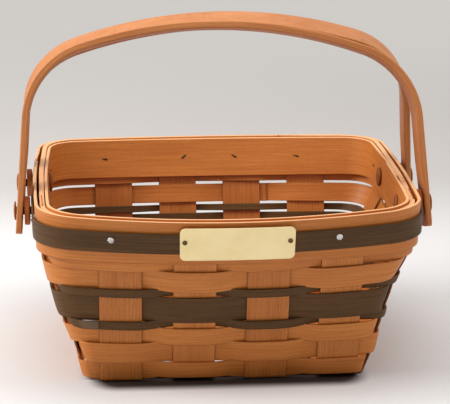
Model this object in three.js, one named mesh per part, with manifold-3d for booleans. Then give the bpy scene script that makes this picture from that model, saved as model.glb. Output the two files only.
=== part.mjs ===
// Woven splint basket with two swing handles, millimetres, +Z up.
// The origin is the centre of the underside, -Y is the front and X runs along the pivots.
import * as THREE from 'three';
import { mergeVertices } from 'three/addons/utils/BufferGeometryUtils.js';
import Module from 'manifold-3d';

const wasm = await Module();
wasm.setup();

// Gaps: seam is the gap between pieces that touch, overrun is how far a cut passes a face
const seam = 0.3;
const overrun = 1;
// Upright splints: four run front to back and four side to side, woven into the bottom. The
// insets are what the floor reaches past the outermost ones.
const stakeWidth = 25.4;
const stakeThickness = 1.2;
const lengthwiseInset = 7.75;
const crosswiseInset = 5.1;
const bendRadius = 1.9;
const stakeTopInset = 0.8;
const weaveMargin = 1;
// Wall: half sizes of the middle of the uprights, at the floor and at the rim
const floorHalfWidth = 86;
const floorHalfDepth = 79.6;
const floorCorner = 7;
const floorBow = 1.5;
const rimHeight = 107.9;
const rimHalfWidth = 111.8;
const rimHalfDepth = 112.5;
const rimCorner = 28;
const rimFrontBow = 17.5;
const rimSideBow = 3.5;
// The side walls belly out, most of all at the foot of the rim bands
const belly = 7.2;
// The rim sweeps up towards the handles and a little at the back
const sideLift = 2.7;
const backLift = 0.8;
// Weavers: level strips woven round the uprights, one ring to a row
const weaverThickness = 1.2;
const firstRowHeight = 3.4;
// Rim bands and the dark strip on the outer one
const bandThickness = 1.9;
const outerBandWidth = 28.2;
const innerBandWidth = 25.4;
const trimThickness = 1.2;
const trimGap = 0.5;
const trimWidth = 13.2;
const trimDrop = 7.5;
// Handles: bent strips, drawn upright from the pivot. A shallow arc makes the crest, and a
// tighter one on each side the shoulder above a straight arm, which is thinned at the pivot.
const handleWidth = 20;
const handleThickness = 4.3;
const armThickness = 3.7;
const handleRise = 113.9;
const handleTail = 14;
const handleChamfer = 0.8;
const handleTipRound = 4;
const crestRadius = 275;
const crestShift = 4.2;
const shoulderRadius = 51;
const pivotSpacing = 73;
// Washers, pegs and the caps on the pegs' inner ends
const washerRadius = 8.8;
const washerThickness = 3.2;
const washerChamfer = 0.5;
const pegRadius = 2.5;
const pegHeadRadius = 5.8;
const pegHeadThickness = 1.5;
const pegHeadEdge = 0.6;
const capRadius = 6.1;
const capThickness = 2.1;
const capEdge = 0.8;
const capSocketDepth = 1;
const capSocketPlay = 0.6;
// Nails through the bands and the uprights
const nailHeadRadius = 2;
const nailHeadThickness = 0.7;
const nailShankRadius = 0.8;
const nailPoint = 0.7;
const plateNailHeadRadius = 1.5;
const nailDrop = 12.2;
// Name plate: thin brass, bent to the front of the basket
const plateWidth = 66;
const plateHeight = 21.6;
const plateThickness = 0.7;
const plateCorner = 3.2;
const plateShift = 2.2;
const plateNailInset = 2.8;
const plateDrop = 1.2;

// Rows from the bottom up, as shares of the wall's height above the lowest one: the width, the
// gap below it in front and the gap below it at the back. Rows are counted from 1.
const rowShares = [
  [0.1167, 0, 0],
  [0.1167, 0.0029, 0.0067],
  [0.0967, 0.0029, 0.0067],
  [0.0459, 0.0029, 0.0067],
  [0.1521, 0.0029, 0.0067],
  [0.0459, 0.0043, 0.0087],
  [0.1167, 0.0043, 0.0134],
  [0.1167, 0.0072, 0.0134],
  [0.1722, 0.0029, 0.0029],
];
const darkRows = [4, 5, 6];
// Belly at shares of the wall's height, as shares on the left and on the right. The wall is
// straight in between, and bends only where one row of weavers ends and the next begins.
const bellyShares = [
  [0, 0.24, -0.35],
  [0.132, 0.32, -0.04],
  [0.246, 0.44, -0.04],
  [0.388, 0.88, 0.08],
  [0.536, 0.97, 0.26],
  [0.701, 1, 0.92],
  [0.817, 0.612, 0.562],
  [1, 0, 0],
];
// The pivots' share of the rim's height
const pivotShare = 0.899;
// Nails in the rim: on the front and back walls or on a side wall, that wall's sign, and the
// place along it as a share of the uprights' pitch
const rimNailShares = [
  ['rim_nail_front_left', true, -1, -1.6],
  ['rim_nail_front_right', true, -1, 1.4],
  ['rim_nail_back_outer_left', true, 1, -1.62],
  ['rim_nail_back_inner_left', true, 1, -0.42],
  ['rim_nail_back_inner_right', true, 1, 0.42],
  ['rim_nail_back_outer_right', true, 1, 1.4],
  ['rim_nail_left_front', false, -1, -1.5],
  ['rim_nail_left_back', false, -1, 1.5],
  ['rim_nail_right_front', false, 1, -1.5],
  ['rim_nail_right_back', false, 1, 1.5],
];
// The handles' arms lean inwards by this share of their height
const armShare = 0.07;
const cornerShares = [0.2, 0.4, 0.6, 0.8];
const domeShares = [[0.86, 0.55], [0.5, 0.88], [0, 1]];
const ringSides = 16;
const nailSides = 8;
const crestSteps = 9;
const shoulderSteps = 9;
const bendSteps = 3;
const plateSteps = 8;

// Derived sizes
const crossing = stakeThickness / 2 + seam / 2;
const floorLevel = stakeThickness + seam / 2;
const sideLean = Math.atan((rimHalfWidth - floorHalfWidth) / (rimHeight - floorLevel));
const level = 1 / Math.cos(sideLean);
const weave = stakeThickness / 2 + seam + weaverThickness / 2;
const bandFace = weave + weaverThickness / 2 + seam;
const bandOuter = bandFace + bandThickness;
const trimInner = bandOuter + trimGap;
const trimOuter = trimInner + trimThickness;
const plateInner = trimOuter + seam;
const stakeEdge = stakeWidth / 2 + weaveMargin;
const stakeShares = [-1.5, -0.5, 0.5, 1.5];
const pitchFor = (reach) => (reach - stakeWidth / 2) / stakeShares[stakeShares.length - 1];
const lengthwisePitch = pitchFor(floorHalfWidth - lengthwiseInset);
const crosswisePitch = pitchFor(floorHalfDepth - crosswiseInset);
const lengthwisePlaces = stakeShares.map((share) => share * lengthwisePitch);
const crosswisePlaces = stakeShares.map((share) => share * crosswisePitch);
const pivotOffset = pivotSpacing / 2;
const pivotHeight = pivotShare * rimHeight;
const rowsHeight = rimHeight - firstRowHeight;
const rowRise = rowsHeight * rowShares.reduce((sum, [, front, back]) => sum + back - front, 0);

// Colours
const paleWood = { color: 0xc98a55, roughness: 0.55, metalness: 0 };
const handleWood = { color: 0xc07a48, roughness: 0.5, metalness: 0 };
const darkWood = { color: 0x4c3c2a, roughness: 0.6, metalness: 0 };
const washerWood = { color: 0x7d4522, roughness: 0.6, metalness: 0 };
const pegWood = { color: 0x4d2413, roughness: 0.45, metalness: 0 };
const steel = { color: 0xb4b4b0, roughness: 0.35, metalness: 1 };
const brass = { color: 0xe0cd98, roughness: 0.35, metalness: 1 };

// Puts the faces of a closed mesh outwards, by the sign of its volume
function outward(geometry) {
  const at = geometry.getAttribute('position');
  const index = geometry.getIndex();
  const a = new THREE.Vector3();
  const b = new THREE.Vector3();
  const c = new THREE.Vector3();
  let volume = 0;
  for (let i = 0; i < index.count; i += 3) {
    a.fromBufferAttribute(at, index.getX(i));
    b.fromBufferAttribute(at, index.getX(i + 1));
    c.fromBufferAttribute(at, index.getX(i + 2));
    volume += a.dot(b.cross(c));
  }
  if (volume < 0) {
    for (let i = 0; i < index.count; i += 3) {
      const first = index.getX(i);
      index.setX(i, index.getX(i + 1));
      index.setX(i + 1, first);
    }
  }
  return geometry;
}

// Keeps the positions of a library geometry alone, with shared corners merged
function plain(geometry) {
  geometry.deleteAttribute('normal');
  geometry.deleteAttribute('uv');
  return outward(mergeVertices(geometry, seam / 1000));
}

// Joins sections of equal count into a closed body: a ring, or a bar with two flat ends
function loft(sections, isRing) {
  const count = sections[0].length;
  const positions = sections.flat(2);
  const triangles = [];
  const spans = isRing ? sections.length : sections.length - 1;
  for (let i = 0; i < spans; i++) {
    const here = i * count;
    const there = ((i + 1) % sections.length) * count;
    for (let j = 0; j < count; j++) {
      const k = (j + 1) % count;
      triangles.push(here + j, here + k, there + k, here + j, there + k, there + j);
    }
  }
  if (!isRing) {
    const last = (sections.length - 1) * count;
    for (let j = 1; j < count - 1; j++) {
      triangles.push(0, j + 1, j, last, last + j, last + j + 1);
    }
  }
  const geometry = new THREE.BufferGeometry();
  geometry.setAttribute('position', new THREE.Float32BufferAttribute(positions, 3));
  geometry.setIndex(triangles);
  return outward(geometry);
}

function toSolid(geometry) {
  return new wasm.Manifold(new wasm.Mesh({
    numProp: 3,
    vertProperties: new Float32Array(geometry.getAttribute('position').array),
    triVerts: new Uint32Array(geometry.getIndex().array),
  }));
}

// Cuts each cutter out of a body
function drill(geometry, cutters) {
  let solid = toSolid(geometry);
  for (const cutter of cutters) {
    solid = solid.subtract(toSolid(cutter));
  }
  const mesh = solid.getMesh();
  const result = new THREE.BufferGeometry();
  result.setAttribute('position', new THREE.Float32BufferAttribute(mesh.vertProperties, 3));
  result.setIndex([...mesh.triVerts]);
  return result;
}

// Straight between the rows of a table, and on beyond its ends. A row starts with its share.
function between(table, share, column) {
  const next = table.slice(1, -1).findIndex(([at]) => at > share);
  const above = table[next < 0 ? table.length - 1 : next + 1];
  const below = table[next < 0 ? table.length - 2 : next];
  const part = (share - below[0]) / (above[0] - below[0]);
  return below[column] + (above[column] - below[column]) * part;
}

// Share of the height by which the rows rise at a station, towards the sides and the back
function riseShare(station) {
  const [x, y] = station.spot;
  return (sideLift * x ** 2 + (rowRise * (1 + y)) / 2) / rimHeight;
}

// Plan of the wall at a station's height. A quarter is three arcs that run on smoothly: the
// front, the corner and the side. Places on it go by the angle of their normal, 0 in front and
// 90 degrees at the side. x and y are positive, to the side and to the front.
function planAt(z, station) {
  const wallRise = rimHeight - floorLevel;
  const share = (z - floorLevel) / wallRise;
  const mix = (low, high) => low + (high - low) * share;
  const bellyShare = (z * (1 - riseShare(station)) - floorLevel) / wallRise;
  const bellied = belly * between(bellyShares, bellyShare, station.right < 0 ? 1 : 2);
  const halfWidth = mix(floorHalfWidth, rimHalfWidth) + bellied;
  const halfDepth = mix(floorHalfDepth, rimHalfDepth);
  const corner = mix(floorCorner, rimCorner);
  const frontRadius = halfWidth ** 2 / (2 * mix(floorBow, rimFrontBow));
  const sideRadius = halfDepth ** 2 / (2 * mix(floorBow, rimSideBow));
  const front = new THREE.Vector2(0, halfDepth - frontRadius);
  const side = new THREE.Vector2(halfWidth - sideRadius, 0);
  const toFront = frontRadius - corner;
  const toSide = sideRadius - corner;
  const apart = side.distanceTo(front);
  const along = (toFront ** 2 - toSide ** 2 + apart ** 2) / (2 * apart);
  const off = Math.sqrt(toFront ** 2 - along ** 2);
  const way = side.clone().sub(front).divideScalar(apart);
  const middle = new THREE.Vector2(
    front.x + way.x * along - way.y * -off,
    front.y + way.y * along + way.x * -off,
  );
  return {
    front: { centre: front, radius: frontRadius },
    corner: { centre: middle, radius: corner },
    side: { centre: side, radius: sideRadius },
    frontEnd: Math.atan2(middle.x - front.x, middle.y - front.y),
    sideStart: Math.atan2(middle.x - side.x, middle.y - side.y),
  };
}

function angleAtX(plan, x) {
  const angle = Math.asin(x / plan.front.radius);
  if (angle <= plan.frontEnd) {
    return angle;
  }
  return Math.asin((x - plan.corner.centre.x) / plan.corner.radius);
}

function angleAtY(plan, y) {
  const angle = Math.acos(y / plan.side.radius);
  if (angle >= plan.sideStart) {
    return angle;
  }
  return Math.acos((y - plan.corner.centre.y) / plan.corner.radius);
}

function planPoint(plan, angle, offset) {
  let arc = plan.corner;
  if (angle < plan.frontEnd) {
    arc = plan.front;
  } else if (angle > plan.sideStart) {
    arc = plan.side;
  }
  const reach = arc.radius + offset;
  return [arc.centre.x + reach * Math.sin(angle), arc.centre.y + reach * Math.cos(angle)];
}

// Station on the front or back wall at x, or on a side wall at y. right and back are the signs
// of its quarter, spot is its place in shares of the rim, and angle its normal's on a plan.
function stationAt(isFrontOrBack, place, side) {
  const reach = Math.abs(place);
  return {
    right: isFrontOrBack ? Math.sign(place) : side,
    back: isFrontOrBack ? side : Math.sign(place),
    spot: isFrontOrBack ? [place / rimHalfWidth, side] : [side, place / rimHalfDepth],
    angle: (plan) => (isFrontOrBack ? angleAtX(plan, reach) : angleAtY(plan, reach)),
  };
}

// Stations round the wall, anticlockwise seen from above from the front's left end. stake
// counts the sixteen upright ends, with a share on the way to the next one at a corner.
const lastX = lengthwisePlaces[3] + stakeEdge;
const lastY = crosswisePlaces[3] + stakeEdge;
const stations = [];
let ends = 0;
function addSide(places, isFrontOrBack, side, way) {
  for (const place of places) {
    for (const shift of [-stakeEdge, 0, stakeEdge]) {
      const station = stationAt(isFrontOrBack, (place + shift) * way, side);
      stations.push({ ...station, stake: ends });
    }
    ends += 1;
  }
}
function addCorner(right, back, isToSide) {
  for (const share of cornerShares) {
    const part = isToSide ? share : 1 - share;
    const angle = (plan) => angleAtX(plan, lastX) * (1 - part) + angleAtY(plan, lastY) * part;
    const spot = [
      right * (part + ((1 - part) * lastX) / rimHalfWidth),
      back * (1 - part + (part * lastY) / rimHalfDepth),
    ];
    stations.push({ right, back, spot, angle, stake: ends - 1 + share });
  }
}
addSide(lengthwisePlaces, true, -1, 1);
addCorner(1, -1, true);
addSide(crosswisePlaces, false, 1, 1);
addCorner(1, 1, false);
addSide(lengthwisePlaces, true, 1, -1);
addCorner(-1, 1, true);
addSide(crosswisePlaces, false, -1, -1);
addCorner(-1, -1, false);

// Point of the wall at a station and height, offset level and outwards from the uprights'
// middle by offset times the wall's slant
function wallPoint(station, z, offset) {
  const plan = planAt(z, station);
  const [x, y] = planPoint(plan, station.angle(plan), offset * level);
  return [station.right * x, station.back * y, z];
}

// Height of the rim's sweep at a station: up to the sides, and rise at the back
function lifted(station, z, rise) {
  const [x, y] = wallPoint(station, z, 0);
  const toSide = sideLift * (x / rimHalfWidth) ** 2 * (z / rimHeight);
  return z + toSide + (rise * (1 + y / rimHalfDepth)) / 2;
}

// Level ring on the wall. lowAt and highAt give its edges, offsetAt its middle's offset.
function wallRing(lowAt, highAt, offsetAt, thickness) {
  return loft(stations.map((station) => {
    const low = lowAt(station);
    const high = highAt(station);
    const inner = offsetAt(station) - thickness / 2;
    const outer = offsetAt(station) + thickness / 2;
    return [
      wallPoint(station, low, inner),
      wallPoint(station, low, outer),
      wallPoint(station, high, outer),
      wallPoint(station, high, inner),
    ];
  }), true);
}

// A row's strip passes outside an upright where stake and row are both even or both odd
function weaveOffset(stake, row) {
  const before = Math.floor(stake);
  const share = stake - before;
  const here = (before + row) % 2 === 0 ? weave : -weave;
  return here * (1 - 2 * share);
}

const group = new THREE.Group();
function add(name, geometry, finish, parent = group) {
  const mesh = new THREE.Mesh(geometry, new THREE.MeshStandardMaterial(finish));
  mesh.name = name;
  parent.add(mesh);
  return mesh;
}

// Point of the wall for a fitting, with the wall's own outward normal there
function seatAt(station, z, offset) {
  const point = new THREE.Vector3(...wallPoint(station, z, offset));
  const above = new THREE.Vector3(...wallPoint(station, z + seam, offset));
  const angle = station.angle(planAt(z, station));
  const outwards = new THREE.Vector3(
    station.right * Math.sin(angle),
    station.back * Math.cos(angle),
    0,
  );
  const slope = Math.atan2(above.sub(point).dot(outwards), seam);
  const normal = outwards.multiplyScalar(Math.cos(slope));
  normal.z = -Math.sin(slope);
  return { point, normal };
}

// Turned piece: the profile's points are radius and place along the axis, which is turned
// to the direction given
function turned(profile, sides) {
  const points = profile.map(([radius, place]) => new THREE.Vector2(radius, place));
  return plain(new THREE.LatheGeometry(points, sides));
}
const axisOfTurning = new THREE.Vector3(0, 1, 0);
function setTo(mesh, point, direction) {
  mesh.position.copy(point);
  mesh.quaternion.setFromUnitVectors(axisOfTurning, direction);
}
function placed(geometry, point, direction) {
  const turn = new THREE.Quaternion().setFromUnitVectors(axisOfTurning, direction);
  const matrix = new THREE.Matrix4().compose(point, turn, new THREE.Vector3(1, 1, 1));
  return geometry.clone().applyMatrix4(matrix);
}

// Button: a flat face at zero, an edge and a low dome
function button(radius, thickness, edge) {
  const dome = domeShares.map(([out, up]) => [radius * out, edge + (thickness - edge) * up]);
  return [[radius, 0], [radius, edge], ...dome];
}

// Nails: their head's underside is at zero and the shank runs back through the wall
const nails = [];
function addNail(name, station, faceUnder, headRadius, finish) {
  const height = lifted(station, rimHeight - nailDrop, backLift);
  const seat = seatAt(station, height, faceUnder + seam);
  const length = bandOuter + nailPoint + faceUnder + seam;
  const profile = [
    [0, -length],
    [nailShankRadius, nailPoint - length],
    [nailShankRadius, 0],
    ...button(headRadius, nailHeadThickness, nailHeadThickness / 2),
  ];
  setTo(add(name, turned(profile, nailSides), finish), seat.point, seat.normal);
  const reach = length + nailHeadThickness + overrun;
  const bore = plain(new THREE.CylinderGeometry(
    nailShankRadius + seam,
    nailShankRadius + seam,
    2 * reach,
    nailSides,
  ));
  nails.push(placed(bore, seat.point, seat.normal));
}
for (const [name, isFrontOrBack, side, share] of rimNailShares) {
  const place = share * (isFrontOrBack ? lengthwisePitch : crosswisePitch);
  addNail(name, stationAt(isFrontOrBack, place, side), trimOuter, nailHeadRadius, steel);
}
const plateFace = plateInner + plateThickness;
for (const [name, place] of [['plate_nail_left', -1], ['plate_nail_right', 1]]) {
  const x = plateShift + place * (plateWidth / 2 - plateNailInset);
  addNail(name, stationAt(true, x, -1), plateFace, plateNailHeadRadius, brass);
}

// Bores for the pegs, along X through both sides of the basket
const pegPlaces = [-pivotOffset, pivotOffset];
const boreRadius = pegRadius + seam;
const pegBores = pegPlaces.map((y) => {
  const length = 2 * (rimHalfWidth + bandOuter + trimOuter + washerThickness);
  const bore = new THREE.CylinderGeometry(boreRadius, boreRadius, length, ringSides);
  return placed(plain(bore), new THREE.Vector3(0, y, pivotHeight), new THREE.Vector3(1, 0, 0));
});
const wallCuts = [...pegBores, ...nails];

// Uprights: each runs up one wall, across the bottom and up the other. A section is its three
// columns over the width on the outer face, then back along the inner face. On the walls it
// lies between the same stations as the weavers, so the gap to them is even.
function stakeSection(pointAt) {
  const outer = [-1, 0, 1].map((column) => pointAt(column, stakeThickness / 2));
  const inner = [1, 0, -1].map((column) => pointAt(column, -stakeThickness / 2));
  return [...outer, ...inner];
}

function columnPoint(isLengthwise, place, side, column, z, offset) {
  const edge = wallPoint(stationAt(isLengthwise, place + column * stakeEdge, side), z, offset);
  const middle = wallPoint(stationAt(isLengthwise, place, side), z, offset);
  const share = stakeWidth / 2 / stakeEdge;
  return middle.map((value, i) => value + (edge[i] - value) * share);
}

function stakeWall(isLengthwise, place, side, floorShift) {
  const station = stationAt(isLengthwise, place, side);
  const top = lifted(station, rimHeight, backLift) - stakeTopInset;
  const bends = bellyShares.slice(1, -1).map(([share]) => (
    (floorLevel + share * (rimHeight - floorLevel)) / (1 - riseShare(station))
  ));
  const heights = [top, ...bends.reverse()];
  const sections = heights.map((z) => stakeSection((column, offset) => (
    columnPoint(isLengthwise, place, side, column, z, offset)
  )));
  const axis = isLengthwise ? 1 : 0;
  for (let i = bendSteps; i >= 0; i--) {
    sections.push(stakeSection((column, offset) => {
      const foot = columnPoint(isLengthwise, place, side, column, floorLevel, 0);
      const above = columnPoint(isLengthwise, place, side, column, floorLevel + bendRadius, 0);
      const turn = Math.atan2(bendRadius, (above[axis] - foot[axis]) * side);
      const tilt = (turn * i) / bendSteps;
      const start = Math.abs(foot[axis]) - bendRadius * Math.tan(turn / 2);
      const out = offset + floorShift * (1 - i / bendSteps);
      const reach = start + (bendRadius + out) * Math.sin(tilt);
      const z = floorLevel + bendRadius - (bendRadius + out) * Math.cos(tilt);
      const across = place + (column * stakeWidth) / 2;
      return isLengthwise ? [across, side * reach, z] : [side * reach, across, z];
    }));
  }
  return sections;
}

function stake(isLengthwise, k) {
  const place = (isLengthwise ? lengthwisePlaces : crosswisePlaces)[k];
  const others = isLengthwise ? crosswisePlaces : lengthwisePlaces;
  const shifts = others.map((other, m) => (
    (k + m) % 2 === (isLengthwise ? 0 : 1) ? crossing : -crossing
  ));
  const floor = others.flatMap((other, m) => [-stakeEdge, stakeEdge].map((margin) => (
    stakeSection((column, offset) => {
      const across = place + (column * stakeWidth) / 2;
      const z = floorLevel - shifts[m] - offset;
      return isLengthwise ? [across, other + margin, z] : [other + margin, across, z];
    })
  )));
  const sections = [
    ...stakeWall(isLengthwise, place, -1, shifts[0]),
    ...floor,
    ...stakeWall(isLengthwise, place, 1, shifts[3]).reverse(),
  ];
  return drill(loft(sections, false), nails);
}
lengthwisePlaces.forEach((place, k) => {
  add(`front_to_back_stake_${k + 1}`, stake(true, k), paleWood);
});
crosswisePlaces.forEach((place, k) => {
  add(`side_to_side_stake_${k + 1}`, stake(false, k), paleWood);
});

// Weavers
let frontHeight = firstRowHeight;
let backHeight = firstRowHeight;
rowShares.forEach(([width, gapInFront, gapAtBack], index) => {
  const row = index + 1;
  const rise = (width * rowsHeight) / level;
  const low = frontHeight + gapInFront * rowsHeight;
  const lag = backHeight + gapAtBack * rowsHeight - low;
  const ring = wallRing(
    (station) => lifted(station, low, lag),
    (station) => lifted(station, low + rise, lag),
    (station) => weaveOffset(station.stake, row),
    weaverThickness,
  );
  frontHeight = low + rise;
  backHeight = low + lag + rise;
  const isTop = row === rowShares.length;
  const finish = darkRows.includes(row) ? darkWood : paleWood;
  const name = isTop ? 'top_weaver' : `weaver_row_${row}`;
  add(name, isTop ? drill(ring, wallCuts) : ring, finish);
});

// Bands and the dark strip hang from the swept rim
function band(offset, thickness, drop, width) {
  const top = (station) => lifted(station, rimHeight, backLift) - drop;
  const low = (station) => top(station) - width / level;
  return drill(wallRing(low, top, () => offset + thickness / 2, thickness), wallCuts);
}
add('inner_rim_band', band(-bandOuter, bandThickness, 0, innerBandWidth), paleWood);
add('outer_rim_band', band(bandFace, bandThickness, 0, outerBandWidth), paleWood);
add('trim_strip', band(trimInner, trimThickness, trimDrop, trimWidth), darkWood);

// Name plate: upright sections along its length, shorter at the rounded ends
function namePlate() {
  const corner = [];
  for (let i = 0; i <= bendSteps; i++) {
    const angle = (Math.PI / 2) * (i / bendSteps);
    const x = plateWidth / 2 - plateCorner * (1 - Math.cos(angle));
    corner.push([x, plateHeight / 2 - plateCorner * (1 - Math.sin(angle))]);
  }
  const [straight, fullHalf] = corner[bendSteps];
  const length = [];
  for (let i = 1; i < plateSteps; i++) {
    length.push([straight * ((2 * i) / plateSteps - 1), fullHalf]);
  }
  const outline = [...corner.map(([x, half]) => [-x, half]), ...length, ...corner.reverse()];
  const middle = rimHeight - nailDrop - plateDrop;
  const sections = outline.map(([x, half]) => {
    const station = stationAt(true, x + plateShift, -1);
    const low = middle - half / level;
    const high = middle + half / level;
    return [
      wallPoint(station, low, plateInner),
      wallPoint(station, low, plateFace),
      wallPoint(station, high, plateFace),
      wallPoint(station, high, plateInner),
    ];
  });
  return drill(loft(sections, false), nails);
}
add('name_plate', namePlate(), brass);

// The washers sit against the trim strip where it stands out most behind them
function washerSeat(right) {
  const reaches = [-washerRadius, washerRadius].flatMap((shift) => {
    const station = stationAt(false, pivotOffset + shift, right);
    const top = lifted(station, rimHeight, backLift) - trimDrop;
    return [top, top - trimWidth / level].map((z) => Math.abs(wallPoint(station, z, trimOuter)[0]));
  });
  return Math.max(...reaches) + seam;
}
const washerOuter = washerSeat(-1) + washerThickness;
const armAngle = Math.atan(armShare);
const armAcross = armThickness / Math.cos(armAngle);
const handleHalfWidth = washerOuter + seam + armShare * washerRadius + armAcross;
const headFace = handleHalfWidth + armShare * pegHeadRadius + seam;

// Outer edge of one side of a handle, from the tail to the crest. Each point has half the
// strip's width, its thickness and the angle of its outward normal. side is -1 left, 1 right.
function handleSide(side) {
  const inwards = new THREE.Vector2(-Math.cos(armAngle), -Math.sin(armAngle));
  const upwards = new THREE.Vector2(inwards.y, -inwards.x);
  const start = new THREE.Vector2(handleHalfWidth, 0).addScaledVector(inwards, shoulderRadius);
  const crest = new THREE.Vector2(-side * crestShift, handleRise - crestRadius);
  const apart = start.clone().sub(crest);
  const back = apart.dot(upwards);
  const far = apart.lengthSq() - (crestRadius - shoulderRadius) ** 2;
  const shoulder = start.clone().addScaledVector(upwards, Math.sqrt(back ** 2 - far) - back);
  const crestStart = Math.atan2(shoulder.y - crest.y, shoulder.x - crest.x);
  const points = [];
  const addToArm = (v, half) => {
    const u = handleHalfWidth - armShare * v;
    points.push({ u, v, half, thickness: armThickness, angle: armAngle });
  };
  for (let i = 0; i <= bendSteps; i++) {
    const turn = (Math.PI / 2) * (i / bendSteps);
    const half = handleWidth / 2 - handleTipRound * (1 - Math.sin(turn));
    addToArm(handleTipRound * (1 - Math.cos(turn)) - handleTail, half);
  }
  addToArm(washerRadius, handleWidth / 2);
  const arc = (centre, radius, from, to, steps) => {
    for (let i = 0; i <= steps; i++) {
      const angle = from + ((to - from) * i) / steps;
      const u = centre.x + radius * Math.cos(angle);
      const v = centre.y + radius * Math.sin(angle);
      points.push({ u, v, half: handleWidth / 2, thickness: handleThickness, angle });
    }
  };
  arc(shoulder, shoulderRadius, armAngle, crestStart, shoulderSteps);
  points.pop();
  arc(crest, crestRadius, crestStart, Math.PI / 2, crestSteps);
  return points.map(({ u, angle, ...rest }) => ({
    u: side * u,
    outwards: [side * Math.cos(angle), Math.sin(angle)],
    ...rest,
  }));
}

function handle() {
  const path = [...handleSide(-1), ...handleSide(1).reverse().slice(1)];
  const c = handleChamfer;
  const sections = path.map(({ u, v, half, thickness: t, outwards }) => {
    const corners = [
      [-half + c, 0], [half - c, 0], [half, -c], [half, c - t],
      [half - c, -t], [c - half, -t], [-half, c - t], [-half, -c],
    ];
    return corners.map(([y, out]) => [u + outwards[0] * out, y, v + outwards[1] * out]);
  });
  const bore = new THREE.CylinderGeometry(boreRadius, boreRadius, 2 * headFace, ringSides);
  const middle = new THREE.Vector3(0, 0, 0);
  return drill(loft(sections, false), [placed(plain(bore), middle, new THREE.Vector3(1, 0, 0))]);
}

// Each handle leans inwards until its crest rests against the other one's
const crestReach = Math.hypot(handleRise, handleWidth / 2);
const lean = Math.asin((pivotOffset - seam / 2) / crestReach)
  - Math.atan(handleWidth / 2 / handleRise);
['front_handle', 'back_handle'].forEach((name, i) => {
  const turn = new THREE.Group();
  turn.rotation.z = Math.PI * i;
  const pivot = new THREE.Group();
  pivot.position.set(0, -pivotOffset, pivotHeight);
  pivot.rotation.x = -lean;
  turn.add(pivot);
  group.add(turn);
  add(name, handle(), handleWood, pivot);
});

// Washers, pegs and caps at the four pivots
const washerProfile = (thickness) => [
  [boreRadius, 0],
  [washerRadius - washerChamfer, 0],
  [washerRadius, washerChamfer],
  [washerRadius, thickness - washerChamfer],
  [washerRadius - washerChamfer, thickness],
  [boreRadius, thickness],
  [boreRadius, 0],
];
const socketRadius = pegRadius + capSocketPlay;
const capProfile = [
  [0, capSocketDepth],
  [socketRadius, capSocketDepth],
  [socketRadius, 0],
  ...button(capRadius, capThickness, capEdge),
];
for (const [front, end] of [[-1, 'front'], [1, 'back']]) {
  for (const [right, hand] of [[-1, 'left'], [1, 'right']]) {
    const y = front * pivotOffset;
    const out = new THREE.Vector3(right, 0, 0);
    const at = (x) => new THREE.Vector3(right * x, y, pivotHeight);
    const inner = washerSeat(right);
    const washer = turned(washerProfile(washerOuter - inner), ringSides);
    setTo(add(`handle_washer_${end}_${hand}`, washer, washerWood), at(inner), out);
    const seat = seatAt(stationAt(false, y, right), pivotHeight, -(bandOuter + seam));
    const shank = headFace - Math.abs(seat.point.x);
    const pegProfile = [
      [0, -shank],
      [pegRadius, -shank],
      [pegRadius, 0],
      ...button(pegHeadRadius, pegHeadThickness, pegHeadEdge),
    ];
    setTo(add(`handle_peg_${end}_${hand}`, turned(pegProfile, ringSides), pegWood), at(headFace), out);
    const cap = add(`peg_cap_${end}_${hand}`, turned(capProfile, ringSides), pegWood);
    setTo(cap, seat.point, seat.normal.clone().negate());
  }
}

export default group;
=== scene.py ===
"""Woven splint basket with two swing handles: the visual model.

Sizes are in millimetres and turned into metres where a mesh is made. A strip is a surface on a
grid: one direction runs along it, the other goes once round its section. Places round the
basket are counted in upright ends, as wall() says.
"""
import math
from collections import namedtuple
import bmesh
import bpy
import numpy as np
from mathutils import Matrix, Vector


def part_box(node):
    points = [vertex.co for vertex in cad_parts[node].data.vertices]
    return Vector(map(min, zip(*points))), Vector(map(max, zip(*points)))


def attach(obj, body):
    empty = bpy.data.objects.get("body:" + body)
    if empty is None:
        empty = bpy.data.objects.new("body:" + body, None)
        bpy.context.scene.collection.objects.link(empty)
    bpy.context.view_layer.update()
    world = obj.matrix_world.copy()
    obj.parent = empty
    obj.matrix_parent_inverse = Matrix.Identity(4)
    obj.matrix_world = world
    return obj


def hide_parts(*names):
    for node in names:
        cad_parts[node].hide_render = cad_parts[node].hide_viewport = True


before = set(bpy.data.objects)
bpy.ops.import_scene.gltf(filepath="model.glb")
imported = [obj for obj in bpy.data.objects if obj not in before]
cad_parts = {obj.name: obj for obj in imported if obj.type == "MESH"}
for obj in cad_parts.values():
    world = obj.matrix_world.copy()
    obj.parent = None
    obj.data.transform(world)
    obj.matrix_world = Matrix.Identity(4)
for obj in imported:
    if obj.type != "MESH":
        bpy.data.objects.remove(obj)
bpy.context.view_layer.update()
MM = 0.001

# Upright ends on one wall and round the basket, and the place of a wall's middle among its own
ENDS = 4
ROUND = 4 * ENDS
MIDDLE = (ENDS - 1) / 2
FRONT, RIGHT, BACK, LEFT = range(4)

# Sizes of the wall, the same as the solids'. A plan is the half width, the half depth, the
# corners' radius and the bow of the front and of the sides.
SPLINT = 1.2
STAKE_W, STAKE_REACH = 25.4, 13.7
PITCH_X, PITCH_Y = 43.7, 41.2
FLOOR, RIM = 1.35, 107.9
FLOOR_PLAN = (86.0, 79.6, 7.0, 1.5, 1.5)
RIM_PLAN = (111.8, 112.5, 28.0, 17.5, 3.5)
EDGE_X, EDGE_Y = STAKE_REACH / PITCH_X, STAKE_REACH / PITCH_Y
LIMIT_X, LIMIT_Y = MIDDLE * PITCH_X + STAKE_REACH, MIDDLE * PITCH_Y + STAKE_REACH
# How much the rim's sweep rises to the sides and to the back, and the rows to the back
SIDE_LIFT, BACK_LIFT, ROW_RISE = 2.7, 0.8, 3.647
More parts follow.
